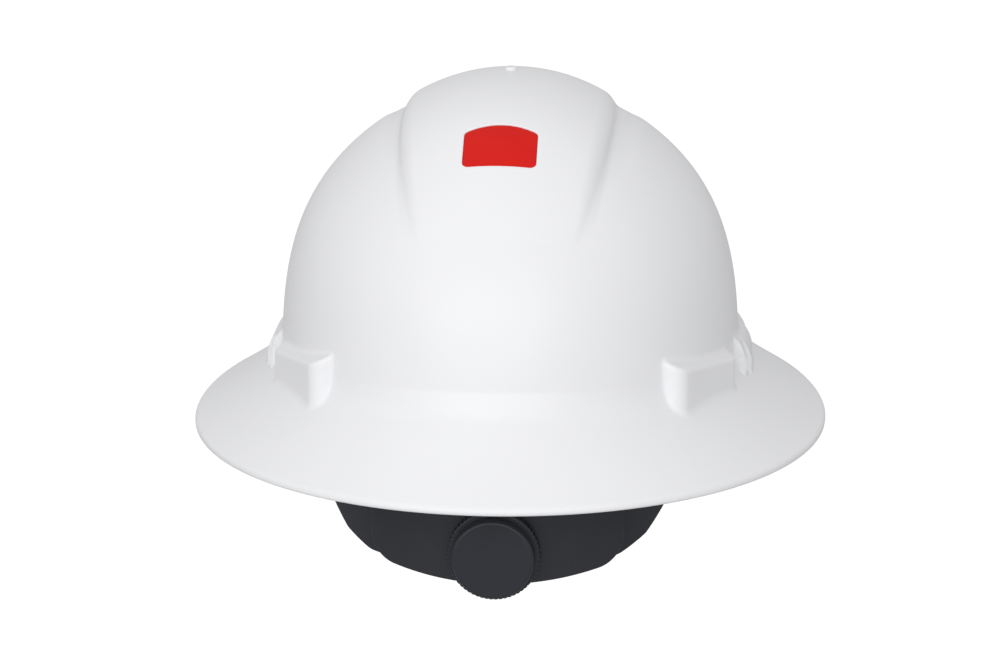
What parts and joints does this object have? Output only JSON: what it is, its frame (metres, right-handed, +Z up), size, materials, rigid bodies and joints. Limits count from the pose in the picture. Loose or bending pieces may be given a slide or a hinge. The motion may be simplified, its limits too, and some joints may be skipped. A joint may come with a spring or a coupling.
{
  "type": "full brim hard hat",
  "caption": "Full brim hard hat with a ridged crown, red indicator window, webbing suspension and a ratchet headband turned by a rear knob.",
  "frame": {"origin": "centre of the rim's plane, at the lowest edge of the brim", "axes": "+Y to the front of the hat, +X to the wearer's right, +Z up"},
  "size_m": [0.282, 0.32, 0.2072],
  "materials": {
    "shell_white": "smooth glossy white moulded plastic",
    "indicator_red": "satin translucent red film under a clear face",
    "key_black": "black moulded plastic",
    "band_grey": "dark grey flexible plastic",
    "webbing": "grey woven webbing",
    "brow_foam": "padded black fabric",
    "nape_charcoal": "fine grained charcoal plastic",
    "knob_charcoal": "fine grained charcoal plastic",
    "steel": "zinc plated steel"
  },
  "bodies": {
    "shell_assembly": {"shell": "shell_white", "uv_indicator": "indicator_red", "key_front_left": "key_black", "key_front_right": "key_black", "key_rear_left": "key_black", "key_rear_right": "key_black", "crown_strap_lower": "webbing", "crown_strap_upper": "webbing"},
    "headband": {"headband": "band_grey", "brow_pad": "brow_foam"},
    "nape_unit": {"nape_housing": "nape_charcoal", "nape_backplate": "nape_charcoal", "nape_pad": "brow_foam", "housing_screws": "steel", "detent_spring": "key_black"},
    "strap_left": {"nape_strap_left": "nape_charcoal"},
    "strap_right": {"nape_strap_right": "nape_charcoal"},
    "knob": {"knob": "knob_charcoal", "knob_cap": "knob_charcoal", "knob_screw": "steel", "pinion": "key_black"}
  },
  "joints": [
    {"name": "headband_height", "type": "slide", "parent": "shell_assembly", "child": "headband", "axis": [0, 0, 1], "range_m": [-0.007, 0.007]},
    {"name": "nape_slide", "type": "slide", "parent": "headband", "child": "nape_unit", "axis": [0, 1, 0], "range_m": [-0.01745, 0.01745]},
    {"name": "strap_left_wrap", "type": "hinge", "parent": "nape_unit", "child": "strap_left", "pos_m": [0, -0.016, -0.03], "axis": [0, 0, 1], "range_deg": [-11.5, 11.5]},
    {"name": "strap_right_wrap", "type": "hinge", "parent": "nape_unit", "child": "strap_right", "pos_m": [0, -0.016, -0.03], "axis": [0, 0, 1], "range_deg": [-11.8, 11.8]},
    {"name": "knob_turn", "type": "hinge", "parent": "nape_unit", "child": "knob", "pos_m": [0, -0.114, -0.032], "axis": [0, 1, 0], "range_deg": [-200, 200]}
  ],
  "couplings": [
    {"joint": "knob_turn", "follows": "nape_slide", "rad_per_m": 200},
    {"joint": "strap_left_wrap", "follows": "nape_slide", "rad_per_m": 11.364},
    {"joint": "strap_right_wrap", "follows": "nape_slide", "rad_per_m": -11.601}
  ]
}
